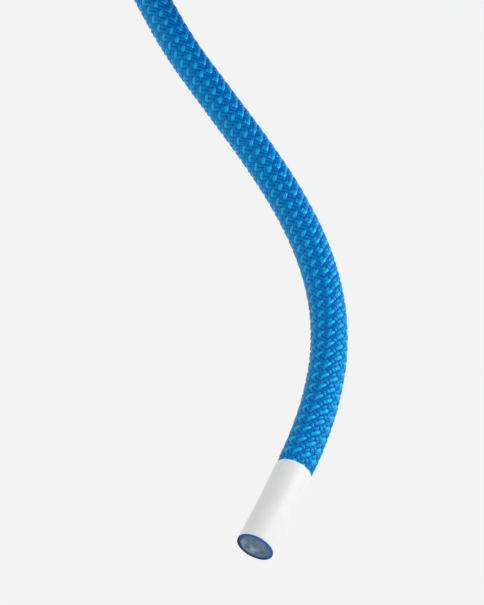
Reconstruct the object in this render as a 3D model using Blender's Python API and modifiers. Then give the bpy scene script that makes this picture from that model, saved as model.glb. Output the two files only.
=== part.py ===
# Dynamic climbing rope, 9.8 mm by 60 m: a braided sheath round a core of laid strands.
# One end lies free in front of a round coil that holds the rest of the length, and the
# other end lies on top of the coil. Each end shows how the rope is made: sheath, core
# strands, identification thread, shrunk end band and the hot cut that seals it.
# Metres, +Z up. The rope lies on the plane z = 0, and the origin is the middle of the
# space that it covers there.

import math

import bpy
from mathutils import Vector

# The rope
ROPE_LENGTH = 60.0
ROPE_DIAMETER = 0.0098
SHEATH_WALL = 0.0010
OUTER_STRANDS = 9
INNER_STRANDS = 3
THREAD_DIAMETER = 0.0004

# Its ends
BAND_LENGTH = 0.026
BAND_WALL = 0.0002
NECK_DIAMETER = 0.0090  # the shrunk band squeezes the sheath to this
NECK_TAPER = 0.003  # the sheath swells to full size over this length above the band
FUSED_LENGTH = 0.002  # how deep the hot cut melts sheath and core together
FUSED_LIP = 0.0004  # the melt's rim in front of the band, as wide as the band
CLEARANCE = 0.0003  # between pieces that touch on the real rope

# The coil
TURN_PITCH = 0.0101  # from one turn to the next beside it
TURNS_IN_ROW = (7, 8, 9, 8, 9, 8, 9, 8, 9, 8, 9, 8, 7, 6)  # from the bottom row up
TURN_SWEEP = math.radians(355.25)  # each turn moves on to the next place short of a full circle

# How finely round things are made
TUBE_SIDES = 12
STRAND_SIDES = 8
BAND_SIDES = 24
COIL_STEPS = 72
STATION_SPACING = 2 * ROPE_DIAMETER

# Routes of the two ends, from the cut inwards, seen from above. The free end's is in the
# part's own frame, and its last point lies beside the coil, whose middle is that way:
FREE_END_ROUTE = (
    (-0.0429, -0.2256),
    (-0.0375, -0.2136),
    (-0.0326, -0.2016),
    (-0.0288, -0.1915),
    (-0.0252, -0.1786),
    (-0.0229, -0.1633),
    (-0.0232, -0.1463),
    (-0.0267, -0.1288),
    (-0.0332, -0.1108),
    (-0.0422, -0.0922),
    (-0.0527, -0.0731),
    (-0.0634, -0.0534),
    (-0.0717, -0.0347),
    (-0.0825, -0.0072),
    (-0.0879, 0.0071),
)
COIL_BEARING = math.radians(45.7)
# The top end's route is counted from the coil's middle, and lies on the top row of turns.
TOP_END_ROUTE = (
    (-0.0179, -0.0923),
    (0.0060, -0.0858),
    (0.0309, -0.0765),
    (0.0543, -0.0647),
    (0.0763, -0.0477),
    (0.0937, -0.0251),
    (0.1024, 0.0036),
    (0.0989, 0.0321),
)


def linear_colour(red, green, blue):
    """A colour given as it looks on a screen, 0 to 255, in the light values that shaders use."""
    shares = (value / 255 for value in (red, green, blue))
    return tuple(v / 12.92 if v <= 0.04045 else ((v + 0.055) / 1.055) ** 2.4 for v in shares)


def make_material(name, colour, roughness):
    material = bpy.data.materials.new(name)
    material.use_nodes = True
    shader = material.node_tree.nodes["Principled BSDF"]
    shader.inputs["Base Color"].default_value = (*linear_colour(*colour), 1.0)
    shader.inputs["Roughness"].default_value = roughness
    shader.inputs["Metallic"].default_value = 0.0
    return material


def rest_height():
    """The rope's centreline lies this high: the band, its widest place, rests on z = 0."""
    return NECK_DIAMETER / 2 + CLEARANCE + BAND_WALL


def smooth_route(points, steps=24):
    """Even small steps along a Catmull-Rom curve through the points, at the rope's height."""
    route = [Vector((x, y, rest_height())) for x, y in points]
    route = [2 * route[0] - route[1]] + route + [2 * route[-1] - route[-2]]
    path = []
    for before, start, end, after in zip(route, route[1:], route[2:], route[3:]):
        for step in range(steps):
            t = step / steps
            path.append(
                start
                + (end - before) * (t / 2)
                + (2 * before - 5 * start + 4 * end - after) * (t * t / 2)
                + (3 * start - before - 3 * end + after) * (t**3 / 2)
            )
    path.append(route[-2])
    return path


def route_length(path):
    return sum((b - a).length for a, b in zip(path, path[1:]))


def point_along(path, distance):
    for a, b in zip(path, path[1:]):
        step = (b - a).length
        if distance <= step:
            return a.lerp(b, distance / step)
        distance -= step
    return path[-1]


def station_distances(length):
    """Distances from the cut at which every piece of one end has its sections."""
    edges = [0.0, FUSED_LIP, FUSED_LIP + CLEARANCE, FUSED_LENGTH, FUSED_LENGTH + CLEARANCE]
    edges += [BAND_LENGTH / 3, BAND_LENGTH * 2 / 3, BAND_LENGTH, BAND_LENGTH + NECK_TAPER]
    count = math.ceil((length - edges[-1]) / STATION_SPACING)
    step = (length - edges[-1]) / count
    return edges + [edges[-1] + step * (i + 1) for i in range(count)]


def tube(name, parent, points, radii, sides, material, wall=0.0):
    """A tube through the points; with a wall it is hollow and open at both ends."""
    curve = bpy.data.curves.new(name, "CURVE")
    curve.dimensions = "3D"
    curve.twist_mode = "Z_UP"
    curve.bevel_depth = radii[0]
    curve.bevel_resolution = sides // 2 - 2
    curve.use_fill_caps = wall == 0.0
    spline = curve.splines.new("POLY")
    spline.points.add(len(points) - 1)
    for place, point, radius in zip(spline.points, points, radii):
        place.co = (*point, 1.0)
        place.radius = radius / radii[0]
    spline.use_smooth = True
    curve.materials.append(material)
    piece = bpy.data.objects.new(name, curve)
    parent.users_collection[0].objects.link(piece)
    piece.parent = parent
    if wall:
        shell = piece.modifiers.new("wall", "SOLIDIFY")
        shell.thickness = wall
        shell.offset = -1
        shell.use_even_offset = True
    return piece


def side_by_side(reach, count):
    """Radius of equal strands that fill a circle of this reach, and of the ring they stand on."""
    share = math.sin(math.pi / count)
    radius = (share * reach - CLEARANCE / 2) / (1 + share)
    return radius, reach - radius


def beside(points, angle, distance):
    """The line of points moved sideways, at an angle round the rope's own line."""
    moved = []
    for i, point in enumerate(points):
        ahead = points[min(i + 1, len(points) - 1)] - point
        behind = point - points[max(i - 1, 0)]
        along = (ahead.normalized() + behind.normalized()).normalized()
        across = Vector((-along.y, along.x, 0.0))
        shift = across * math.cos(angle) + Vector((0, 0, 1)) * math.sin(angle)
        moved.append(point + shift * distance)
    return moved


def build_core(prefix, parent, points, materials):
    """Two rings of strands side by side in the sheath, and the thread that lies between them."""
    tightest_bore = NECK_DIAMETER / 2 * math.cos(math.pi / TUBE_SIDES) - SHEATH_WALL
    outer_radius, outer_ring = side_by_side(tightest_bore - CLEARANCE, OUTER_STRANDS)
    inner_reach = outer_ring - outer_radius - CLEARANCE
    inner_radius, inner_ring = side_by_side(inner_reach, INNER_STRANDS)
    thread_angle = math.pi / OUTER_STRANDS
    rings = (
        ("outer", OUTER_STRANDS, outer_radius, outer_ring, 0.0),
        ("inner", INNER_STRANDS, inner_radius, inner_ring, thread_angle + math.pi / INNER_STRANDS),
    )
    for ring, count, radius, ring_radius, first_angle in rings:
        for i in range(count):
            line = beside(points, first_angle + 2 * math.pi * i / count, ring_radius)
            name = f"{prefix}_{ring}_strand_{i + 1}"
            tube(name, parent, line, [radius] * len(line), STRAND_SIDES, materials["strand"])
    line = beside(points, thread_angle, inner_reach - THREAD_DIAMETER / 2)
    radii = [THREAD_DIAMETER / 2] * len(line)
    tube(f"{prefix}_id_thread", parent, line, radii, STRAND_SIDES, materials["thread"])


def build_end(prefix, collection, origin, path, materials):
    """One end of the rope, from its cut to where it meets the coil."""
    parent = bpy.data.objects.new(f"{prefix}_origin", None)
    parent.location = origin
    collection.objects.link(parent)

    distances = station_distances(route_length(path))
    points = [point_along(path, distance) for distance in distances]

    fused = [(p, s) for p, s in zip(points, distances) if s <= FUSED_LENGTH]
    line = [p for p, s in fused]
    radii = [rest_height() if s <= FUSED_LIP else NECK_DIAMETER / 2 for p, s in fused]
    tube(f"{prefix}_fused_cut", parent, line, radii, BAND_SIDES, materials["fused"])

    band = [p for p, s in zip(points, distances) if FUSED_LIP < s <= BAND_LENGTH]
    radii = [rest_height()] * len(band)
    tube(f"{prefix}_band", parent, band, radii, BAND_SIDES, materials["band"], BAND_WALL)

    rope = [(p, s) for p, s in zip(points, distances) if s > FUSED_LENGTH]
    line = [p for p, s in rope]
    radii = [(NECK_DIAMETER if s <= BAND_LENGTH else ROPE_DIAMETER) / 2 for p, s in rope]
    tube(f"{prefix}_sheath", parent, line, radii, TUBE_SIDES, materials["sheath"], SHEATH_WALL)
    build_core(prefix, parent, line, materials)


def coil_rows():
    """Height of each row's middle and half the width that its turns take up, bottom row first."""
    rise = TURN_PITCH * math.sin(math.radians(60))
    return [
        (ROPE_DIAMETER / 2 + rise * i, (turns - 1) / 2 * TURN_PITCH + ROPE_DIAMETER / 2)
        for i, turns in enumerate(TURNS_IN_ROW)
    ]


def reach_of_lying_rope():
    """From the middle of the coil's width to a rope that lies against its leaning foot."""
    foot = coil_rows()[0][1]
    lean = math.radians(30)  # each turn sits in the hollow between two below it
    return foot + (ROPE_DIAMETER / 2 + CLEARANCE) / math.cos(lean)


def build_coil(collection, centre, mean_radius, material):
    """The outer shape of all the turns: a ring with a flat underside."""
    rows = coil_rows()
    edge = ROPE_DIAMETER / 4  # the outermost turns' round sides, at the top and at the bottom
    top = (rows[-1][1] - edge, rows[-1][0] + ROPE_DIAMETER / 2)
    bottom = (rows[0][1] - edge, 0.0)
    side = [top] + [(half, z) for z, half in reversed(rows)] + [bottom]
    outline = [(mean_radius + half, 0.0, z) for half, z in side]
    outline += [(mean_radius - half, 0.0, z) for half, z in reversed(side)]
    edges = [(i, (i + 1) % len(outline)) for i in range(len(outline))]
    mesh = bpy.data.meshes.new("coiled_rope")
    mesh.from_pydata(outline, edges, [])
    mesh.materials.append(material)
    coil = bpy.data.objects.new("coiled_rope", mesh)
    collection.objects.link(coil)
    coil.location = centre
    turn = coil.modifiers.new("turn", "SCREW")
    turn.angle = 2 * math.pi
    turn.steps = turn.render_steps = COIL_STEPS
    turn.merge_threshold = 0.0001
    turn.use_smooth_shade = True


def build_rope():
    for old in list(bpy.data.objects):
        bpy.data.objects.remove(old, do_unlink=True)
    collection = bpy.data.collections.new("climbing_rope")
    bpy.context.scene.collection.children.link(collection)
    materials = {
        "sheath": make_material("rope_sheath", (12, 98, 182), 0.62),
        "strand": make_material("core_strand", (232, 230, 222), 0.70),
        "thread": make_material("id_thread", (214, 60, 40), 0.60),
        "band": make_material("end_band", (238, 238, 236), 0.38),
        "fused": make_material("fused_cut", (88, 113, 131), 0.30),
    }
    free_path = smooth_route(FREE_END_ROUTE)
    top_path = smooth_route(TOP_END_ROUTE)
    coiled_length = ROPE_LENGTH - route_length(free_path) - route_length(top_path)
    mean_radius = coiled_length / (sum(TURNS_IN_ROW) * TURN_SWEEP)

    to_middle = Vector((math.cos(COIL_BEARING), math.sin(COIL_BEARING), 0.0))
    centre = free_path[-1] + to_middle * (mean_radius + reach_of_lying_rope())
    centre.z = 0.0
    on_top = centre + Vector((0.0, 0.0, coil_rows()[-1][0] + ROPE_DIAMETER / 2 + CLEARANCE))

    build_coil(collection, centre, mean_radius, materials["sheath"])
    build_end("free_end", collection, Vector((0.0, 0.0, 0.0)), free_path, materials)
    build_end("top_end", collection, on_top, top_path, materials)


build_rope()
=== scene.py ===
import math

import bpy
import numpy as np
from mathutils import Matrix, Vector, noise


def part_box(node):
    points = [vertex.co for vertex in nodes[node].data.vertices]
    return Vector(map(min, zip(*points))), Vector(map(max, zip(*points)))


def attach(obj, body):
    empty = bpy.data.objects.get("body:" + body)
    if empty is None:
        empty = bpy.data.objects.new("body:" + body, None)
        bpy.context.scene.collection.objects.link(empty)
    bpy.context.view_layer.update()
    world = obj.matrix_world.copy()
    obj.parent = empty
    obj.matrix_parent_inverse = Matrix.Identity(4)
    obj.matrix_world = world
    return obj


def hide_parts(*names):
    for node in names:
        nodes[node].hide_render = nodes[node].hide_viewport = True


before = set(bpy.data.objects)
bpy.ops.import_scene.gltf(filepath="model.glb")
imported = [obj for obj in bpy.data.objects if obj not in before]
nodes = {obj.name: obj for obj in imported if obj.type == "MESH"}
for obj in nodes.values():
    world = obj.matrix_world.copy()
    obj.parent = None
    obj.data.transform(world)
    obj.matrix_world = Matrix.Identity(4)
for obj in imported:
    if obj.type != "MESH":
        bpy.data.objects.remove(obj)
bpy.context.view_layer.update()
scene = bpy.context.scene

# Metres throughout. Distances along the rope are counted from the free end's cut.
rope = {
    "length": 60.0,
    "diameter": 0.0098,
    "endHeight": 0.005,  # centreline of both ends, which rest on their bands
    "clearance": 0.0003,
    "freeRoute": [
        (-0.0429, -0.2256), (-0.0375, -0.2136), (-0.0326, -0.2016), (-0.0288, -0.1915),
        (-0.0252, -0.1786), (-0.0229, -0.1633), (-0.0232, -0.1463), (-0.0267, -0.1288),
        (-0.0332, -0.1108), (-0.0422, -0.0922), (-0.0527, -0.0731), (-0.0634, -0.0534),
        (-0.0717, -0.0347), (-0.0825, -0.0072), (-0.0879, 0.0071),
    ],
    "topRoute": [  # counted from the coil's middle, and lies on its top row of turns
        (-0.0179, -0.0923), (0.0060, -0.0858), (0.0309, -0.0765), (0.0543, -0.0647),
        (0.0763, -0.0477), (0.0937, -0.0251), (0.1024, 0.0036), (0.0989, 0.0321),
    ],
}
coil = {
    "pitch": 0.0101,  # from one turn to the next beside it
    "rows": (7, 8, 9, 8, 9, 8, 9, 8, 9, 8, 9, 8, 7, 6),  # turns in each row, bottom row first
    "sweep": math.radians(355.25),  # of one turn, so that the last one ends below the top end
    "crossing": (0.70, 0.90),  # the part of each turn in which it moves to its next place
    "pointsPerTurn": 64,
    "wander": 0.00014,  # how far each slow wave below takes the turns from their places
    "sway": [(1.31, 0), (0.73, 1), (2.17, 2)],  # in and out: waves per radian, phase
    "lift": [(0.91, 4), (1.57, 3)],  # and up and down
    "settling": 2.0,  # radians of winding in which the wander starts and ends
    "joinPoints": 12,
}
softening = {
    "step": 0.002,  # between the points of the finished line
    "reach": 0.006,
    "width": 2.5,  # of the window, in reaches each way
    "start": 0.02,  # length of each end's route in which it sets in
}


def smooth(t):
    t = np.clip(t, 0, 1)
    return t * t * (3 - 2 * t)


def smoothRoute(points, height, steps=24):
    # a smooth curve through the points, which gets its direction from each one's neighbours
    route = np.array([(x, y, height) for x, y in points])
    route = np.vstack([2 * route[0] - route[1], route, 2 * route[-1] - route[-2]])
    line = []
    for before, start, end, after in zip(route, route[1:], route[2:], route[3:]):
        for t in np.arange(steps) / steps:
            line.append(
                start
                + (end - before) * t / 2
                + (2 * before - 5 * start + 4 * end - after) * t**2 / 2
                + (3 * start - before - 3 * end + after) * t**3 / 2
            )
    line.append(route[-2])
    return np.array(line)


def distancesAlong(line):
    steps = np.linalg.norm(np.diff(line, axis=0), axis=1)
    return np.concatenate([[0], np.cumsum(steps)])


def pointsAt(line, distances):
    run = distancesAlong(line)
    return np.stack([np.interp(distances, run, line[:, i]) for i in range(3)], -1)


def coilPlaces():
    # each turn's place as (distance from the middle of the coil's width, height) in the order
    # of winding: inwards along the bottom row, outwards along the next, and so on up
    rise = coil["pitch"] * math.sin(math.radians(60))  # each row lies in the hollows below it
    places = []
    for row, turns in enumerate(coil["rows"]):
        outwards = 1 if row % 2 else -1
        for turn in range(turns):
            offset = (turn - (turns - 1) / 2) * coil["pitch"] * outwards
            places.append((offset, rope["diameter"] / 2 + rise * row))
    return np.array(places)


def woundTurns(places, sweep):
    # how far it is wound, how far out and how high, from the first place to the last
    turns = len(places) - 1
    turned, radial, height = [], [], []
    for i in range(turns):
        t = np.arange(coil["pointsPerTurn"]) / coil["pointsPerTurn"]
        start, end = coil["crossing"] if i < turns - 1 else (coil["crossing"][0], 1.0)
        share = smooth((t - start) / (end - start))
        turned.append((i + t) * sweep / turns)
        place = places[i] + (places[i + 1] - places[i]) * share[:, None]
        radial.append(place[:, 0])
        height.append(place[:, 1])
    turned, radial, height = (np.concatenate(x) for x in (turned, radial, height))
    ease = smooth(turned / coil["settling"]) * smooth((turned[-1] - turned) / coil["settling"])
    sway, lift = (
        sum(np.sin(rate * turned + phase) for rate, phase in coil[waves])
        for waves in ("sway", "lift")
    )
    radial = radial + coil["wander"] * sway * ease
    height = np.maximum(height + coil["wander"] * lift * ease, rope["diameter"] / 2)
    return turned, radial, height


def bridge(start, startWay, end, endWay, count):
    # a curve that leaves and arrives in the given directions
    t = np.linspace(0, 1, count)[1:-1, None]
    return (
        (2 * t**3 - 3 * t**2 + 1) * start
        + (t**3 - 2 * t**2 + t) * startWay
        + (3 * t**2 - 2 * t**3) * end
        + (t**3 - t**2) * endWay
    )


def ropeLine():
    # the free end's route, the coil from the bottom row up, and the top end's route
    low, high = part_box("coiled_rope")
    middle = np.array([(low[0] + high[0]) / 2, (low[1] + high[1]) / 2, 0])
    widest = (max(coil["rows"]) - 1) / 2 * coil["pitch"] + rope["diameter"] / 2
    coilRadius = (high[0] - low[0]) / 2 - widest

    free = smoothRoute(rope["freeRoute"], rope["endHeight"])
    top = smoothRoute(rope["topRoute"], high[2] + rope["clearance"] + rope["endHeight"])[::-1]
    top += middle
    places = coilPlaces()
    places[:, 0] += coilRadius
    places = np.vstack([places, (np.linalg.norm(top[0, :2] - middle[:2]), top[0, 2])])

    # the free end meets the bottom row's outermost turn where it just touches that circle
    offset = free[-1] - middle
    first = math.atan2(offset[1], offset[0]) - math.acos(places[0, 0] / math.hypot(*offset[:2]))
    last = math.atan2(top[0, 1] - middle[1], top[0, 0] - middle[0])
    turns = len(places) - 1
    spare = (first - last) % (2 * math.pi)
    sweep = spare + 2 * math.pi * round((turns * coil["sweep"] - spare) / (2 * math.pi))
    turned, radial, height = woundTurns(places, sweep)
    x = middle[0] + radial * np.cos(first - turned)
    y = middle[1] + radial * np.sin(first - turned)
    wound = np.stack([x, y, height], -1)

    gap = np.linalg.norm(wound[0] - free[-1])
    way = (free[-1] - free[-2]) / np.linalg.norm(free[-1] - free[-2]) * gap
    wayOn = (wound[1] - wound[0]) / np.linalg.norm(wound[1] - wound[0]) * gap
    join = bridge(free[-1], way, wound[0], wayOn, coil["joinPoints"])
    print("rope line:", turns, "turns of", round(math.degrees(sweep / turns), 2), "degrees, from",
          round(math.degrees(first) % 360, 1), "to", round(math.degrees(last) % 360, 1))
    return np.vstack([free, join, wound, top]), distancesAlong(free)[-1], distancesAlong(top)[-1]


def softened(line, freeLength, topLength):
    # evenly spaced points, with the kinks where the parts meet worked out
    step, reach, start = softening["step"], softening["reach"], softening["start"]
    run = distancesAlong(line)[-1]
    line = pointsAt(line, np.linspace(0, run, round(run / step) + 1))
    at = distancesAlong(line)
    half = round(softening["width"] * reach / step)
    weights = np.exp(-((np.arange(-half, half + 1) * step / reach) ** 2) / 2)
    weights /= weights.sum()
    padded = np.pad(line, ((half, half), (0, 0)), mode="edge")
    eased = np.stack([np.convolve(padded[:, i], weights, "valid") for i in range(3)], 1)
    pastFreeEnd = smooth((at - freeLength + start) / start)
    beforeTopEnd = smooth((at[-1] - topLength + start - at) / start)
    return line + (eased - line) * (pastFreeEnd * beforeTopEnd)[:, None]


rawLine, freeLength, topLength = ropeLine()
line = softened(rawLine, freeLength, topLength)
totalLength = distancesAlong(line)[-1]
lengths = [round(length, 3) for length in (totalLength, freeLength, topLength)]
print("length of the rope, the free end and the top end:", *lengths)


def lineFrame(line, spare=0.02):
    # the line with its own sideways and upward directions, run on a little past each cut
    first = line[0] - (line[1] - line[0]) / np.linalg.norm(line[1] - line[0]) * spare
    last = line[-1] + (line[-1] - line[-2]) / np.linalg.norm(line[-1] - line[-2]) * spare
    points = np.vstack([first, line, last])
    run = distancesAlong(points) - spare
    along = np.gradient(points, run, axis=0)
    along /= np.linalg.norm(along, axis=1)[:, None]
    across = np.stack([-along[:, 1], along[:, 0], 0 * along[:, 0]], 1)
    across /= np.linalg.norm(across, axis=1)[:, None]
    return run, np.hstack([points, across, np.cross(along, across)])


lineRun, lineData = lineFrame(line)


def onRope(distance, angle, radius):
    # the angle runs round the rope from its left side over its top, seen from the free end's cut
    data = np.stack([np.interp(distance, lineRun, lineData[:, i]) for i in range(9)], -1)
    turn = np.cos(angle)[..., None] * data[..., 3:6] + np.sin(angle)[..., None] * data[..., 6:9]
    return data[..., :3] + np.asarray(radius)[..., None] * turn


def colour(red, green, blue):
    # as seen on a screen, 0 to 255
    shares = (value / 255 for value in (red, green, blue))
    return (*(v / 12.92 if v <= 0.04045 else ((v + 0.055) / 1.055) ** 2.4 for v in shares), 1)


def addNode(tree, kind, inputs=None, **settings):
    # an input is given as a value or as the socket that feeds it
    made = tree.nodes.new(kind)
    for name, value in settings.items():
        setattr(made, name, value)
    for name, value in (inputs or {}).items():
        if isinstance(value, bpy.types.NodeSocket):
            tree.links.new(value, made.inputs[name])
        else:
            made.inputs[name].default_value = value
    return made


def calc(tree, operation, *values, clamp=False):
    values = dict(enumerate(values))
    return addNode(tree, "ShaderNodeMath", values, operation=operation, use_clamp=clamp).outputs[0]


def ramp(tree, value, start, end, low=0.0, high=1.0):
    inputs = {"Value": value, "From Min": start, "From Max": end, "To Min": low, "To Max": high}
    made = addNode(tree, "ShaderNodeMapRange", inputs, interpolation_type="SMOOTHSTEP")
    return made.outputs["Result"]


def blendColours(tree, share, first, second):
    # the mix node's factor and its two colours are its sockets 0, 6 and 7
    inputs = {0: share, 6: first, 7: second}
    return addNode(tree, "ShaderNodeMix", inputs, data_type="RGBA").outputs[2]


def newGroup(name, inputs, outputs):
    group = bpy.data.node_groups.new(name, "ShaderNodeTree")
    for socket in inputs:
        group.interface.new_socket(socket, in_out="INPUT", socket_type="NodeSocketFloat")
    for socket in outputs:
        group.interface.new_socket(socket, in_out="OUTPUT", socket_type="NodeSocketFloat")
    return group, group.nodes.new("NodeGroupInput"), group.nodes.new("NodeGroupOutput")


def newMaterial(name, settings):
    material = bpy.data.materials.new(name)
    material.use_nodes = True
    tree = material.node_tree
    shader = tree.nodes["Principled BSDF"]
    for socket, value in settings.items():
        shader.inputs[socket].default_value = value
    return material, tree, shader


def addGroup(tree, group, inputs):
    return addNode(tree, "ShaderNodeGroup", inputs, node_tree=group).outputs


def addNoise(tree, vector, scale, detail, **settings):
    inputs = {"Vector": vector, "Scale": scale, "Detail": detail}
    return addNode(tree, "ShaderNodeTexNoise", inputs, **settings)


def addBump(tree, shader, height, strength, distance):
    inputs = {"Height": height, "Strength": strength, "Distance": distance}
    bump = addNode(tree, "ShaderNodeBump", inputs)
    tree.links.new(bump.outputs[0], shader.inputs["Normal"])


def setRoughness(tree, shader, mask, amount, lowest):
    roughness = calc(tree, "MULTIPLY_ADD", mask, amount, lowest)
    tree.links.new(roughness, shader.inputs["Roughness"])


def alongAndRound(tree, mapName):
    uv = addNode(tree, "ShaderNodeUVMap", uv_map=mapName)
    split = addNode(tree, "ShaderNodeSeparateXYZ", {"Vector": uv.outputs[0]})
    return split.outputs["X"], split.outputs["Y"]


filamentLook = {"mottleScale": 3.0, "mottleDetail": 2.0, "stray": 5.0}
patternLook = {"crownPower": 0.6, "crownShare": 0.55, "archShare": 0.45}
laidLook = {"mottleScale": 900.0, "mottleDetail": 3.0, "mottleShare": 0.5}


def makeFilaments():
    # fine filaments that run along a yarn and slowly round it; repeats in both directions
    group, given, result = newGroup(
        "filaments", ["Along", "Round", "Count", "Twist"], ["Lines", "Mottle"]
    )
    along = calc(group, "MULTIPLY", given.outputs["Along"], 2 * math.pi)
    around = calc(group, "MULTIPLY", given.outputs["Round"], 2 * math.pi)
    ringX = calc(group, "COSINE", along)
    ringY = calc(group, "SINE", along)
    ringZ = calc(group, "COSINE", around)
    ringW = calc(group, "SINE", around)
    place = addNode(group, "ShaderNodeCombineXYZ", {"X": ringX, "Y": ringY, "Z": ringZ})
    mottle = addNoise(
        group, place.outputs[0], filamentLook["mottleScale"], filamentLook["mottleDetail"],
        noise_dimensions="4D",
    )
    group.links.new(ringW, mottle.inputs["W"])
    turns = calc(group, "MULTIPLY", given.outputs["Count"], around)
    lean = calc(group, "MULTIPLY", given.outputs["Twist"], along)
    stray = calc(group, "MULTIPLY", mottle.outputs[0], filamentLook["stray"])
    wave = calc(group, "SINE", calc(group, "ADD", calc(group, "ADD", turns, lean), stray))
    group.links.new(calc(group, "MULTIPLY_ADD", wave, 0.5, 0.5), result.inputs["Lines"])
    group.links.new(mottle.outputs[0], result.inputs["Mottle"])
    return group


def makeBraidPattern():
    # Along and Round count bundle crossings; a light yarn lies in each bundle that leans one way
    group, given, result = newGroup("braidPattern", ["Along", "Round"], ["Light", "Height"])
    p = calc(group, "ADD", given.outputs["Round"], given.outputs["Along"])
    q = calc(group, "SUBTRACT", given.outputs["Round"], given.outputs["Along"])
    partP, partQ = calc(group, "FRACT", p), calc(group, "FRACT", q)
    cells = calc(group, "ADD", calc(group, "FLOOR", p), calc(group, "FLOOR", q))
    leansBack = calc(group, "FLOORED_MODULO", cells, 2.0)
    turn = calc(group, "SUBTRACT", partQ, partP)
    along = calc(group, "MULTIPLY_ADD", turn, leansBack, partP)
    across = calc(group, "SUBTRACT", partQ, calc(group, "MULTIPLY", turn, leansBack))
    yarn = calc(group, "FRACT", calc(group, "MULTIPLY", across, 2.0))
    arch = calc(group, "SINE", calc(group, "MULTIPLY", along, math.pi))
    crown = calc(group, "SINE", calc(group, "MULTIPLY", yarn, math.pi))
    fullCrown = calc(group, "POWER", crown, patternLook["crownPower"])
    lift = calc(group, "MULTIPLY", arch, patternLook["archShare"])
    height = calc(group, "MULTIPLY_ADD", fullCrown, patternLook["crownShare"], lift)
    leansOn = calc(group, "SUBTRACT", 1.0, leansBack)
    light = calc(group, "MULTIPLY", leansOn, calc(group, "GREATER_THAN", partQ, 0.5))
    group.links.new(light, result.inputs["Light"])
    group.links.new(height, result.inputs["Height"])
    return group


def makeTwist():
    # strands laid round each other, for pieces that lie mostly along Y
    group, given, result = newGroup("laidStrands", ["Scale", "Lean"], ["Height", "Mottle"])
    place = addNode(group, "ShaderNodeTexCoord").outputs["Object"]
    split = addNode(group, "ShaderNodeSeparateXYZ", {"Vector": place})
    aside = calc(group, "ADD", split.outputs["X"], split.outputs["Z"])
    lean = calc(group, "MULTIPLY", given.outputs["Lean"], aside)
    slant = calc(group, "ADD", split.outputs["Y"], lean)
    mottle = addNoise(group, place, laidLook["mottleScale"], laidLook["mottleDetail"])
    wave = calc(group, "SINE", calc(group, "MULTIPLY", slant, given.outputs["Scale"]))
    rough = calc(group, "MULTIPLY", mottle.outputs[0], laidLook["mottleShare"])
    height = calc(group, "ADD", calc(group, "ABSOLUTE", wave), rough)
    group.links.new(height, result.inputs["Height"])
    group.links.new(mottle.outputs[0], result.inputs["Mottle"])
    return group


filaments = makeFilaments()
braidPattern = makeBraidPattern()
laidStrands = makeTwist()

# the shade colours are painted shade, for the yarns' low sides and the braid's hollows
yarnColours = {
    "dark": colour(0, 99, 203),
    "darkShade": colour(0, 68, 166),
    "light": colour(12, 176, 240),
    "lightShade": colour(0, 112, 200),
}
yarnFinish = {
    "Roughness": 0.40,
    "Specular IOR Level": 1.0,
    "IOR": 1.8,
    "Metallic": 0.2,  # with the tint, the coloured shine of the yarn's filaments
    "Specular Tint": (0.03, 1.0, 0.95, 1),
}
yarnLook = {
    "filaments": 9.0,  # round one yarn
    "twist": 2.0,
    "crown": 0.3571,  # where the yarn's map has the middle of its outer side
    "shaded": (0.24, 0.38),  # how far round from there the shade sets in and is full
    "lineShade": 0.24,
    "mottleShade": 0.14,
    "mottleRoughness": 0.16,
    "lineStrength": 0.6,
    "lineDepth": 0.00004,
}
sheathLook = {
    "filaments": 160.0,  # round the rope
    "twist": 96.0,
    "shaded": (0.35, 0.85),  # the pattern's height where the shade is full and where it ends
    "lineHeight": 0.06,
    "depth": 0.0006,
}
braid = {
    "bundles": 10,  # pairs of yarns each way round
    "pitch": 0.0364,  # length of rope in which a yarn goes once round
    "middle": 0.00444,  # radius of a yarn's line half way between over and under
    "rise": 0.00029,
    "section": [  # across and out from the yarn's line, in metres
        (0.00061, -0.00012), (0.00047, 0.00017), (0.00017, 0.00031), (-0.00017, 0.00031),
        (-0.00047, 0.00017), (-0.00061, -0.00012), (0.0, -0.00022),
    ],
    "lightWidth": 1.10,  # the light yarns are a little fuller than the dark ones
    "darkWidth": 1.06,
    "spread": (0.92, 0.12),  # a yarn's width half way up, and how much wider it gets on top
    "pointsPerWave": 10,
    "wavesPerImage": 4,
    "underBand": 0.0235,  # where the yarns start, counted from each cut
    "squeeze": 0.955,  # the band's grip, up to the distance "squeezed" and gone soon after
    "squeezed": 0.025,
    "swelling": 0.0035,
    "lowest": 0.00001,  # the yarns are pressed flat where the rope rests
    "freeEnd": 0.372,  # lengths of rope with modelled yarns
    "topEnd": 0.30,
    "drift": [  # how the braid has crept in use: place, metres along, degrees round
        (0.035, -0.0005, 9.0), (0.059, -0.0001, 0.0), (0.083, 0.00075, -4.0),
        (0.107, 0.0010, -13.0), (0.131, 0.0012, -14.0), (0.155, 0.00095, -13.5),
        (0.179, -0.00025, -16.5), (0.203, -0.0019, -15.5),
    ],
}
braidImage = {"waves": 15, "segments": 5}  # what one width of the pattern's image covers
wave = braid["pitch"] / braid["bundles"]  # length of rope between two floats of one yarn


def setYarnRoughness(tree, shader, mottle):
    amount = yarnLook["mottleRoughness"]
    setRoughness(tree, shader, mottle, amount, yarnFinish["Roughness"] - amount / 2)


def addFilaments(tree, along, around, look):
    inputs = {"Along": along, "Round": around, "Count": look["filaments"], "Twist": look["twist"]}
    made = addGroup(tree, filaments, inputs)
    return made["Lines"], made["Mottle"]


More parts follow.
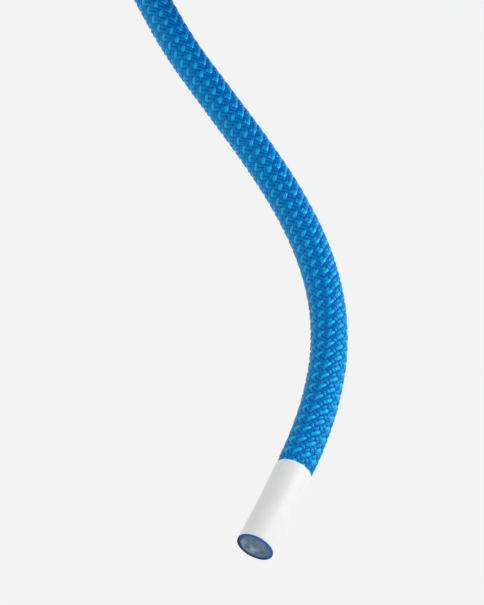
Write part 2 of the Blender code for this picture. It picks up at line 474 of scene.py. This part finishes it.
def makeYarn(name, main, shade):
    material, tree, shader = newMaterial(name, yarnFinish)
    along, around = alongAndRound(tree, "OFBake")
    lines, mottle = addFilaments(tree, along, around, yarnLook)
    # painted shade, darker low on the yarn's sides, where its neighbours shut the light out
    side = calc(tree, "ABSOLUTE", calc(tree, "SUBTRACT", around, yarnLook["crown"]))
    depth = ramp(tree, side, *yarnLook["shaded"])
    spots = calc(tree, "MULTIPLY", mottle, yarnLook["mottleShade"])
    # painted shade on the sides, with the mottle's darker spots, which are the yarn's own tone
    sideShadeAndSpots = calc(tree, "ADD", depth, spots, clamp=True)
    drawn = calc(tree, "MULTIPLY", lines, yarnLook["lineShade"])
    share = calc(tree, "ADD", sideShadeAndSpots, drawn, clamp=True)
    tree.links.new(blendColours(tree, share, main, shade), shader.inputs["Base Color"])
    setYarnRoughness(tree, shader, mottle)
    addBump(tree, shader, lines, yarnLook["lineStrength"], yarnLook["lineDepth"])
    return material


def addPattern(tree, along, around, waves):
    bundles = calc(tree, "MULTIPLY", around, float(braid["bundles"]))
    along = calc(tree, "MULTIPLY", along, float(waves))
    return addGroup(tree, braidPattern, {"Along": along, "Round": bundles})


def makeBraid():
    material, tree, shader = newMaterial("braidedSheath", yarnFinish)
    along, around = alongAndRound(tree, "OFBake")
    pattern = addPattern(tree, along, around, braidImage["waves"])
    lines, mottle = addFilaments(tree, along, around, sheathLook)
    light, height = pattern["Light"], pattern["Height"]
    main = blendColours(tree, light, yarnColours["dark"], yarnColours["light"])
    # painted shade: the shade colours fill the braid's hollows, where the pattern is low, with the
    # mottle's darker spots
    low = blendColours(tree, light, yarnColours["darkShade"], yarnColours["lightShade"])
    depth = ramp(tree, height, *sheathLook["shaded"], 1.0, 0.0)
    share = calc(tree, "MULTIPLY_ADD", mottle, yarnLook["mottleShade"], depth, clamp=True)
    tree.links.new(blendColours(tree, share, main, low), shader.inputs["Base Color"])
    setYarnRoughness(tree, shader, mottle)
    relief = calc(tree, "MULTIPLY_ADD", lines, sheathLook["lineHeight"], height)
    addBump(tree, shader, relief, 1.0, sheathLook["depth"])
    return material


lightYarn = makeYarn("lightYarn", yarnColours["light"], yarnColours["lightShade"])
darkYarn = makeYarn("darkYarn", yarnColours["dark"], yarnColours["darkShade"])
braidedSheath = makeBraid()
print("yarn materials made")


def meshFromTubes(name, tubes, along, material):
    # tubes holds [tube, ring, side, xyz]; every tube is closed at both ends
    count, rings, sides = tubes.shape[:3]
    ring = (np.arange(count)[:, None, None] * rings + np.arange(rings - 1)[None, :, None]) * sides
    side = np.arange(sides)[None, None, :]
    after = (side + 1) % sides
    quads = [ring + side, ring + after, ring + sides + after, ring + sides + side]
    quads = np.stack(quads, -1).reshape(-1, 4)
    starts = np.arange(count)[:, None] * rings * sides
    around = np.arange(sides)
    caps = np.stack([starts + around[::-1], starts + (rings - 1) * sides + around], 1)
    u = np.broadcast_to(along[None, :, None], (count, rings, sides))
    v = np.broadcast_to(np.arange(sides) / sides, (count, rings, sides))
    quadUvs = np.stack(
        [
            np.stack([u[:, :-1], u[:, :-1], u[:, 1:], u[:, 1:]], -1),
            np.stack([v[:, :-1], v[:, :-1] + 1 / sides, v[:, :-1] + 1 / sides, v[:, :-1]], -1),
        ],
        -1,
    ).reshape(-1, 2)
    turn = around * 2 * math.pi / sides
    small = 0.01  # the radius of a cap on the map
    capUvs = np.concatenate(
        [
            np.stack([along[end] + small * np.cos(turn), 0.5 + small * np.sin(turn)], -1)
            for _ in range(count)
            for end in (0, -1)
        ]
    )
    mesh = bpy.data.meshes.new(name)
    mesh.vertices.add(count * rings * sides)
    mesh.vertices.foreach_set("co", tubes.ravel())
    corners = np.concatenate([quads.ravel(), caps.ravel()])
    sizes = np.concatenate([np.full(len(quads), 4), np.full(2 * count, sides)])
    mesh.loops.add(len(corners))
    mesh.loops.foreach_set("vertex_index", corners.astype(np.int32))
    mesh.polygons.add(len(sizes))
    firsts = np.concatenate([[0], np.cumsum(sizes)[:-1]])
    mesh.polygons.foreach_set("loop_start", firsts.astype(np.int32))
    mesh.polygons.foreach_set("loop_total", sizes.astype(np.int32))
    mesh.update(calc_edges=True)
    layer = mesh.uv_layers.new(name="OFBake")
    layer.data.foreach_set("uv", np.concatenate([quadUvs, capUvs]).astype(np.float32).ravel())
    mesh.materials.append(material)
    mesh.shade_smooth()
    mesh.validate()
    piece = bpy.data.objects.new(name, mesh)
    scene.collection.objects.link(piece)
    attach(piece, "root")
    return piece


sheath = {
    "coreRadius": 0.00428,  # under the modelled yarns
    "radius": 0.0049,
    "sides": 12,
    "endInset": 0.0012,  # from each cut to the rope's own end
    "firstRing": 0.003,  # no other ring lies nearer to a cut than this
    "growth": 0.006,  # length in which it grows from one radius to the other
}


def makeRope():
    # one tube, thinner under the modelled yarns of the two ends, with rings a whole number of
    # waves of the braid apart
    coarse = wave * braidImage["waves"] / braidImage["segments"]
    firstWaves = math.ceil(braid["freeEnd"] / coarse) * braidImage["segments"]
    topStart = math.floor((totalLength - braid["topEnd"]) / coarse) * coarse
    start = np.arange(0, firstWaves) * wave
    middle = np.arange(start[-1] + wave, topStart, coarse)
    end = np.arange(topStart, totalLength, wave)
    at = np.concatenate([start, middle, end])
    at = at[(at > sheath["firstRing"]) & (at < totalLength - sheath["firstRing"])]
    grown = braid["freeEnd"] + np.array([-sheath["growth"], 0])
    shrunk = totalLength - braid["topEnd"] + np.array([0, sheath["growth"]])
    ends = [sheath["endInset"], totalLength - sheath["endInset"]]
    at = np.sort(np.concatenate([at, grown, shrunk, ends]))
    bare = smooth((at - grown[0]) / sheath["growth"]) - smooth((at - shrunk[0]) / sheath["growth"])
    radius = sheath["coreRadius"] + (sheath["radius"] - sheath["coreRadius"]) * np.clip(bare, 0, 1)
    turn = np.arange(sheath["sides"]) * 2 * math.pi / sheath["sides"]
    tube = onRope(*np.broadcast_arrays(at[:, None], turn[None, :], radius[:, None]))
    along = (at - firstWaves * wave) / (wave * braidImage["waves"])
    piece = meshFromTubes("rope", tube[None], along, braidedSheath)
    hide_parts("coiled_rope", "free_end_sheath", "top_end_sheath")
    print("rope:", len(at), "rings,", len(at) * 2 * sheath["sides"], "triangles")
    return piece


def yarnTubes(sign, lanes, start, end, width):
    # the yarns of some lanes in one leaning direction, between two distances along the rope
    step = wave / braid["pointsPerWave"]
    at = np.arange(math.ceil(start / step), math.floor(end / step) + 1)[None, :] * step
    lanes = lanes[:, None]
    other = lanes + sign * 2 * braid["bundles"] * at / braid["pitch"]
    parity = np.where(np.floor(lanes) % 2 == 0, 1, -1) * sign
    high = np.cos(math.pi * (other - 0.5)) * parity
    high = 1.5 * high - 0.5 * high**3  # longer on top and below, with quick steps between
    radius = braid["middle"] + braid["rise"] * high
    angle = 2 * math.pi * (lanes + other) / (2 * braid["bundles"])
    lean = math.atan(2 * math.pi * braid["middle"] / braid["pitch"])
    section = np.array(braid["section"])
    least, growth = braid["spread"]
    across = section[:, 0] * width * (least + growth * high[..., None])
    near = np.minimum(at, totalLength - at)
    loose = smooth((near - braid["squeezed"]) / braid["swelling"])
    tight = 1 - (1 - braid["squeeze"]) * (1 - loose)
    distance = at[..., None] + across * sign * math.sin(lean)
    around = angle[..., None] - across * math.cos(lean) / radius[..., None]
    place, creep, twist = np.array(braid["drift"]).T
    around = around - np.radians(np.interp(distance, place, twist))
    distance = distance - np.interp(distance, place, creep)
    tubes = onRope(distance, around, (radius[..., None] + section[:, 1]) * tight[..., None])
    tubes[..., 2] = np.maximum(tubes[..., 2], braid["lowest"])
    return tubes, at[0]


def makeYarnPiece(name, sign, lanes, reach, material, width):
    tubes, at = yarnTubes(sign, lanes, *reach, width)
    along = at / (wave * braid["wavesPerImage"])
    return meshFromTubes(name, tubes, along, material)


def makeYarns():
    # the second yarn of each pair that leans one way is light, and all others are dark
    first, second = (np.arange(braid["bundles"]) + share for share in (0.25, 0.75))
    yarnSets = (
        ("LightYarns", 1, second, lightYarn, braid["lightWidth"]),
        ("DarkYarns1", 1, first, darkYarn, braid["darkWidth"]),
        ("DarkYarns2", -1, first, darkYarn, braid["darkWidth"]),
        ("DarkYarns3", -1, second, darkYarn, braid["darkWidth"]),
    )
    reaches = {
        "freeEnd": (braid["underBand"], braid["freeEnd"]),
        "topEnd": (totalLength - braid["topEnd"], totalLength - braid["underBand"]),
    }
    return [
        makeYarnPiece(end + name, sign, lanes, reach, material, width)
        for end, reach in reaches.items()
        for name, sign, lanes, material, width in yarnSets
    ]


ropePiece = makeRope()
yarnPieces = makeYarns()
triangles = sum(len(piece.data.loops) - 2 * len(piece.data.polygons) for piece in yarnPieces)
print("yarns:", len(yarnPieces), "pieces,", triangles, "triangles")


# End bands and melted cuts are modelled upright and then laid on the rope.
smoothUnder = math.radians(40)
bevelOver = math.radians(60)


def layOnRope(piece, atTop):
    # the piece stands on z = 0 as its cut, with z going up along the rope
    mesh = piece.data
    co = np.empty(len(mesh.vertices) * 3)
    mesh.vertices.foreach_get("co", co)
    co = co.reshape(-1, 3)
    angle, radius = np.arctan2(co[:, 1], co[:, 0]), np.hypot(co[:, 0], co[:, 1])
    if atTop:
        placed = onRope(totalLength - co[:, 2], math.pi - angle, radius)
    else:
        placed = onRope(co[:, 2], angle, radius)
    mesh.vertices.foreach_set("co", placed.ravel())
    mesh.update()


def ownMap(mesh, name):
    layer = mesh.uv_layers.active or mesh.uv_layers.new(name=name)
    layer.name = name
    return layer


def roundMap(piece, length):
    # u along the rope and v round it
    mesh = piece.data
    layer = ownMap(mesh, "aroundRope")
    for face in mesh.polygons:
        angles = []
        for index in face.loop_indices:
            co = mesh.vertices[mesh.loops[index].vertex_index].co
            angle = math.atan2(co.y, co.x) / (2 * math.pi) % 1
            if angles and angle - angles[0] > 0.5:
                angle -= 1
            if angles and angles[0] - angle > 0.5:
                angle += 1
            angles.append(angle)
            layer.data[index].uv = (co.z / length, angle)


def faceMap(piece, width):
    # seen straight onto the cut
    mesh = piece.data
    layer = ownMap(mesh, "ontoCut")
    for loop in mesh.loops:
        co = mesh.vertices[loop.vertex_index].co
        layer.data[loop.index].uv = (0.5 + co.x / width, 0.5 + co.y / width)


def finishPiece(piece, name, material, atTop):
    bpy.ops.object.shade_smooth_by_angle(angle=smoothUnder)
    piece.name = piece.data.name = name
    piece.data.materials.clear()
    piece.data.materials.append(material)
    layOnRope(piece, atTop)
    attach(piece, "root")


def applyModifiers(piece):
    for modifier in list(piece.modifiers):
        bpy.ops.object.modifier_apply(modifier=modifier.name)


band = {
    "start": 0.0004,
    "end": 0.0255,
    "radius": 0.0050,
    "wall": 0.0002,
    "rings": 26,
    "sides": 72,
    "edge": 0.00006,
}
film = {
    "finish": {"Roughness": 0.4, "Coat Weight": 0.05, "Coat Roughness": 0.3},
    "cloud": (260.0, 4.0),  # scale and detail
    "clouded": (0.35, 0.7),
    "grain": (2600.0, 2.0),
    "whites": (colour(237, 237, 236), colour(241, 241, 240)),
    "below": colour(205, 214, 226),  # a bluer, darker grey, in the valleys between the yarns
    "belowShare": 0.05,
    "roughness": (0.06, 0.37),  # by the cloud, and at least
    "grainHeight": 0.12,
    "rippleStrength": 0.35,
    "ripple": 0.00003,  # how much of the braid under it shows in the film
}


def makeBandFilm():
    material, tree, shader = newMaterial("bandFilm", film["finish"])
    along, around = alongAndRound(tree, "aroundRope")
    pattern = addPattern(tree, along, around, (band["end"] - band["start"]) / wave)
    place = addNode(tree, "ShaderNodeTexCoord").outputs["Object"]
    cloud = addNoise(tree, place, *film["cloud"]).outputs[0]
    grain = addNoise(tree, place, *film["grain"]).outputs[0]
    white = blendColours(tree, ramp(tree, cloud, *film["clouded"]), *film["whites"])
    valley = calc(tree, "SUBTRACT", 1.0, pattern["Height"])
    share = calc(tree, "MULTIPLY", valley, film["belowShare"])
    tree.links.new(blendColours(tree, share, white, film["below"]), shader.inputs["Base Color"])
    setRoughness(tree, shader, cloud, *film["roughness"])
    height = calc(tree, "MULTIPLY_ADD", grain, film["grainHeight"], pattern["Height"])
    addBump(tree, shader, height, film["rippleStrength"], film["ripple"])
    return material


def makeBand(name, atTop, material, node):
    bpy.ops.object.select_all(action="DESELECT")
    bpy.ops.mesh.primitive_circle_add(
        vertices=band["sides"],
        radius=band["radius"],
        fill_type="NOTHING",
        location=(0, 0, band["start"]),
    )
    piece = bpy.context.object
    step = (band["end"] - band["start"]) / band["rings"]
    bpy.ops.object.mode_set(mode="EDIT")
    bpy.ops.mesh.select_mode(type="EDGE")
    bpy.ops.mesh.select_all(action="SELECT")
    for ring in range(band["rings"]):
        bpy.ops.mesh.extrude_region_move(TRANSFORM_OT_translate={"value": (0, 0, step)})
    bpy.ops.mesh.select_all(action="SELECT")
    bpy.ops.mesh.normals_make_consistent(inside=False)
    bpy.ops.object.mode_set(mode="OBJECT")
    bpy.ops.object.transform_apply(location=True, rotation=True, scale=True)
    solid = piece.modifiers.new("wall", "SOLIDIFY")
    solid.thickness = band["wall"]
    solid.offset = -1
    edges = piece.modifiers.new("edges", "BEVEL")
    edges.width = band["edge"]
    edges.segments = 2
    edges.limit_method = "ANGLE"
    edges.angle_limit = bevelOver
    applyModifiers(piece)
    roundMap(piece, band["end"] - band["start"])
    finishPiece(piece, name, material, atTop)
    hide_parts(node)
    return piece


cut = {
    "depth": 0.0020,
    "body": 0.0046,
    "lip": 0.00495,  # the melted rim that stands in front of the band
    "lipDepth": 0.0003,
    "lipSide": (0.3, 0.4),  # its straight rings, as shares of its depth
    "lipFront": ((0.22, 0.985), (0.08, 0.975), (0.0, 0.965)),  # its round ones: share and scale
    "sides": 72,
    "insets": 11,
    "insetReach": 0.9,  # of the lip's radius, the rest stays one face
    "hollow": 0.00022,
    "lumps": 0.00015,
    "strands": [(9, 0.0027), (3, 0.0010)],  # how many core strands melted together, how far out
    "strandWidth": 0.0006,
    "strandTurn": 300.0,  # turns each ring of strands by its radius, in strands per metre
    # noise on the face, faded out towards the edge, and in the outline; two numbers only pick
    # another place in the noise
    "skin": {"share": 0.8, "scale": 900, "reach": 1.4, "topEnd": 3.1},
    "swell": {"amount": 0.010, "scale": 420, "place": 5},
    "mapWidth": 0.0104,
}
melt = {
    "finish": {"Roughness": 0.3, "Specular IOR Level": 0.16},
    "wide": (4.0, 2.0),  # scale and detail of the three noises
    "spots": (9.0, 1.0),
    "fine": (30.0, 3.0),
    "ragged": 0.08,  # how unevenly the core and the rim meet, as a share of the map
    "rimStart": (0.33, 0.425),
    "core": (colour(54, 100, 136), colour(98, 122, 130)),
    "coreSpots": (0.35, 0.62),
    "pale": colour(160, 182, 214),
    "palePatches": (0.42, 0.62),
    "paleSide": (-0.5, 0.2, 1.0, 0.15),  # more of them low on the left
    "speck": colour(58, 84, 104),
    "specks": (0.45, 0.7),
    "speckShare": 0.35,
    # the rim's own navy, with painted light and shade: lighter on the side towards the light,
    # darker on the far side
    "rim": (colour(0, 40, 86), colour(0, 88, 166)),
    "rimLitSide": (-0.3, 0.4),
    "roughness": (0.3, 0.18),  # by the fine noise, and at least
    "fineHeight": 0.4,
    "pitStrength": 0.4,
    "pits": 0.0002,
}


def makeMeltedCut():
    material, tree, shader = newMaterial("meltedCut", melt["finish"])
    uv = addNode(tree, "ShaderNodeUVMap", uv_map="ontoCut").outputs[0]
    centring = {"Vector": uv, "Location": (-0.5, -0.5, 0)}
    centred = addNode(tree, "ShaderNodeMapping", centring, vector_type="POINT").outputs[0]
    wide, spots, fine = (
        addNoise(tree, uv, *melt[name]).outputs[0] for name in ("wide", "spots", "fine")
    )
    split = addNode(tree, "ShaderNodeSeparateXYZ", {"Vector": centred})
    side = calc(tree, "SUBTRACT", split.outputs["Y"], split.outputs["X"])
    distance = addNode(tree, "ShaderNodeVectorMath", {0: centred}, operation="LENGTH")
    stray = calc(tree, "SUBTRACT", wide, 0.5)
    ragged = calc(tree, "MULTIPLY_ADD", stray, melt["ragged"], distance.outputs["Value"])
    rim = ramp(tree, ragged, *melt["rimStart"])
    grey = blendColours(tree, ramp(tree, spots, *melt["coreSpots"]), *melt["core"])
    patches = ramp(tree, wide, *melt["palePatches"])
    pale = calc(tree, "MULTIPLY", patches, ramp(tree, side, *melt["paleSide"]))
    inner = blendColours(tree, pale, grey, melt["pale"])
    specks = calc(tree, "MULTIPLY", ramp(tree, fine, *melt["specks"]), melt["speckShare"])
    inner = blendColours(tree, specks, inner, melt["speck"])
    # painted light and shade on the rim, by the side of the cut
    edge = blendColours(tree, ramp(tree, side, *melt["rimLitSide"]), *melt["rim"])
    tree.links.new(blendColours(tree, rim, inner, edge), shader.inputs["Base Color"])
    setRoughness(tree, shader, fine, *melt["roughness"])
    relief = calc(tree, "ADD", calc(tree, "MULTIPLY", fine, melt["fineHeight"]), spots)
    addBump(tree, shader, relief, melt["pitStrength"], melt["pits"])
    return material


def meltVertex(vertex, atTop):
    # a hollow face with a mound for each core strand, a rough skin and an uneven outline
    x, y, z = vertex.co
    out = math.hypot(x, y) / cut["lip"]
    mounds = 0.0
    for count, radius in cut["strands"]:
        for strand in range(count):
            angle = (strand + cut["strandTurn"] * radius) * 2 * math.pi / count
            away = math.hypot(x - radius * math.cos(angle), y - radius * math.sin(angle))
            mounds += math.exp(-((away / cut["strandWidth"]) ** 2))
    inside = max(0.0, 1 - out**6)
    vertex.co.z += inside * (cut["hollow"] - cut["lumps"] * mounds)
    skin, swell = cut["skin"], cut["swell"]
    lump = noise.noise(Vector((x, y, skin["topEnd"] * atTop)) * skin["scale"])
    vertex.co.z += cut["lumps"] * skin["share"] * lump * min(1, skin["reach"] - out)
    wider = 1 + swell["amount"] * noise.noise(Vector((x, y, z + swell["place"])) * swell["scale"])
    vertex.co.x *= wider
    vertex.co.y *= wider


def makeCut(name, atTop, material, node):
    bpy.ops.object.select_all(action="DESELECT")
    bpy.ops.mesh.primitive_circle_add(
        vertices=cut["sides"],
        radius=cut["body"],
        fill_type="NGON",
        location=(0, 0, cut["depth"]),
    )
    piece = bpy.context.object
    bpy.ops.object.transform_apply(location=True, rotation=True, scale=True)
    bpy.ops.object.mode_set(mode="EDIT")
    bpy.ops.mesh.select_mode(type="FACE")
    bpy.ops.mesh.select_all(action="SELECT")

    def extrude(drop, scale=1.0):
        bpy.ops.mesh.extrude_region_move(TRANSFORM_OT_translate={"value": (0, 0, -drop)})
        if scale != 1:
            bpy.ops.transform.resize(value=(scale, scale, 1))

    extrude(cut["depth"] - cut["lipDepth"])
    extrude(0, cut["lip"] / cut["body"])  # out over the end of the band
    for share in cut["lipSide"]:
        extrude(cut["lipDepth"] * share)
    for share, scale in cut["lipFront"]:
        extrude(cut["lipDepth"] * share, scale)
    step = cut["lip"] * cut["insetReach"] / (cut["insets"] + 1)
    for ring in range(cut["insets"]):
        bpy.ops.mesh.inset(thickness=step, depth=0)
    bpy.ops.mesh.select_all(action="SELECT")
    bpy.ops.mesh.normals_make_consistent(inside=False)
    bpy.ops.object.mode_set(mode="OBJECT")
    for vertex in piece.data.vertices:
        if vertex.co.z <= cut["lipDepth"]:
            meltVertex(vertex, atTop)
    faceMap(piece, cut["mapWidth"])
    finishPiece(piece, name, material, atTop)
    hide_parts(node)
    return piece


bandFilm = makeBandFilm()
meltedCut = makeMeltedCut()
for end, node, atTop in (("freeEnd", "free_end", False), ("topEnd", "top_end", True)):
    makeBand(end + "Band", atTop, bandFilm, node + "_band")
    makeCut(end + "Cut", atTop, meltedCut, node + "_fused_cut")
print("end pieces made")


# The core strands and threads stay as the frame has them.
strand = {
    "colours": (colour(236, 234, 226), colour(198, 196, 188)),
    "lay": {"Scale": 1400.0, "Lean": 0.8},
    "roughness": 0.62,
}
thread = {
    "colours": (colour(214, 60, 40), colour(150, 34, 24)),
    "lay": {"Scale": 9000.0, "Lean": 1.2},
    "roughness": 0.6,
}
laidFinish = {
    "sheen": 0.2,
    "shaded": (0.2, 0.9),
    "mottleRoughness": 0.3,
    "reliefStrength": 0.8,
    "relief": 0.0002,
}


def makeLaid(name, look):
    finish = {"Roughness": look["roughness"], "Sheen Weight": laidFinish["sheen"]}
    material, tree, shader = newMaterial(name, finish)
    laid = addGroup(tree, laidStrands, look["lay"])
    shade = ramp(tree, laid["Height"], *laidFinish["shaded"], 1.0, 0.0)
    tree.links.new(blendColours(tree, shade, *look["colours"]), shader.inputs["Base Color"])
    amount = laidFinish["mottleRoughness"]
    setRoughness(tree, shader, laid["Mottle"], amount, look["roughness"] - amount / 2)
    addBump(tree, shader, laid["Height"], laidFinish["reliefStrength"], laidFinish["relief"])
    return material


coreStrand = makeLaid("coreStrand", strand)
markerThread = makeLaid("markerThread", thread)
for name, node in nodes.items():
    if "strand" in name or "thread" in name:
        for place in node.material_slots:
            place.material = markerThread if "thread" in name else coreStrand


stage = {"shade": colour(245, 245, 245), "glow": 0.963, "width": 6.0}
lights = {  # the lamps' places are counted from the view's target
    "sky": {"left": 0.71, "right": 0.61, "blend": 0.8},
    "key": {"from": (0.70, 0.10, 0.66), "width": 0.36, "watts": 1.9},
    "rim": {"from": (0.90, 0.32, 0.20), "width": 0.4, "watts": 2.8},
}
view = {
    "target": (-0.0461, -0.1467, 0.005),
    "elevation": math.radians(52),
    "distance": 0.7359,
    "lens": 161.3,
    "sensor": 36,
    "clip": (0.01, 20),
}


def addFloor():
    bpy.ops.object.select_all(action="DESELECT")
    bpy.ops.mesh.primitive_plane_add(size=stage["width"])
    floor = bpy.context.object
    floor.name = "floor"
    share, shade = stage["glow"], stage["shade"]
    finish = {
        "Base Color": (*(value * (1 - share) for value in shade[:3]), 1),
        "Roughness": 1.0,
        "Specular IOR Level": 0.0,
        "Emission Color": shade,
        "Emission Strength": share,
    }
    floor.data.materials.append(newMaterial("paleFloor", finish)[0])


def addLights():
    world = bpy.data.worlds.new("studio")
    scene.world = world
    world.use_nodes = True
    tree = world.node_tree
    way = addNode(tree, "ShaderNodeTexCoord").outputs["Generated"]
    split = addNode(tree, "ShaderNodeSeparateXYZ", {"Vector": way})
    share = ramp(tree, split.outputs["X"], -lights["sky"]["blend"], lights["sky"]["blend"])
    shades = [(*(lights["sky"][side],) * 3, 1) for side in ("left", "right")]
    tree.links.new(blendColours(tree, share, *shades), tree.nodes["Background"].inputs["Color"])
    target = Vector(view["target"])
    for name in ("key", "rim"):
        data = bpy.data.lights.new(name, "AREA")
        data.size = lights[name]["width"]
        data.energy = lights[name]["watts"]
        lamp = bpy.data.objects.new(name, data)
        lamp.location = target + Vector(lights[name]["from"])
        lamp.rotation_euler = Vector(lights[name]["from"]).to_track_quat("Z", "Y").to_euler()
        scene.collection.objects.link(lamp)


def addCamera():
    away = Vector((0, -math.cos(view["elevation"]), math.sin(view["elevation"])))
    data = bpy.data.cameras.new("camera")
    data.lens = view["lens"]
    data.sensor_width = view["sensor"]
    data.clip_start, data.clip_end = view["clip"]
    camera = bpy.data.objects.new("camera", data)
    camera.location = Vector(view["target"]) + away * view["distance"]
    camera.rotation_euler = away.to_track_quat("Z", "Y").to_euler()
    scene.collection.objects.link(camera)
    scene.camera = camera


addFloor()
addLights()
addCamera()
scene.view_settings.view_transform = "Standard"
print("stage set")
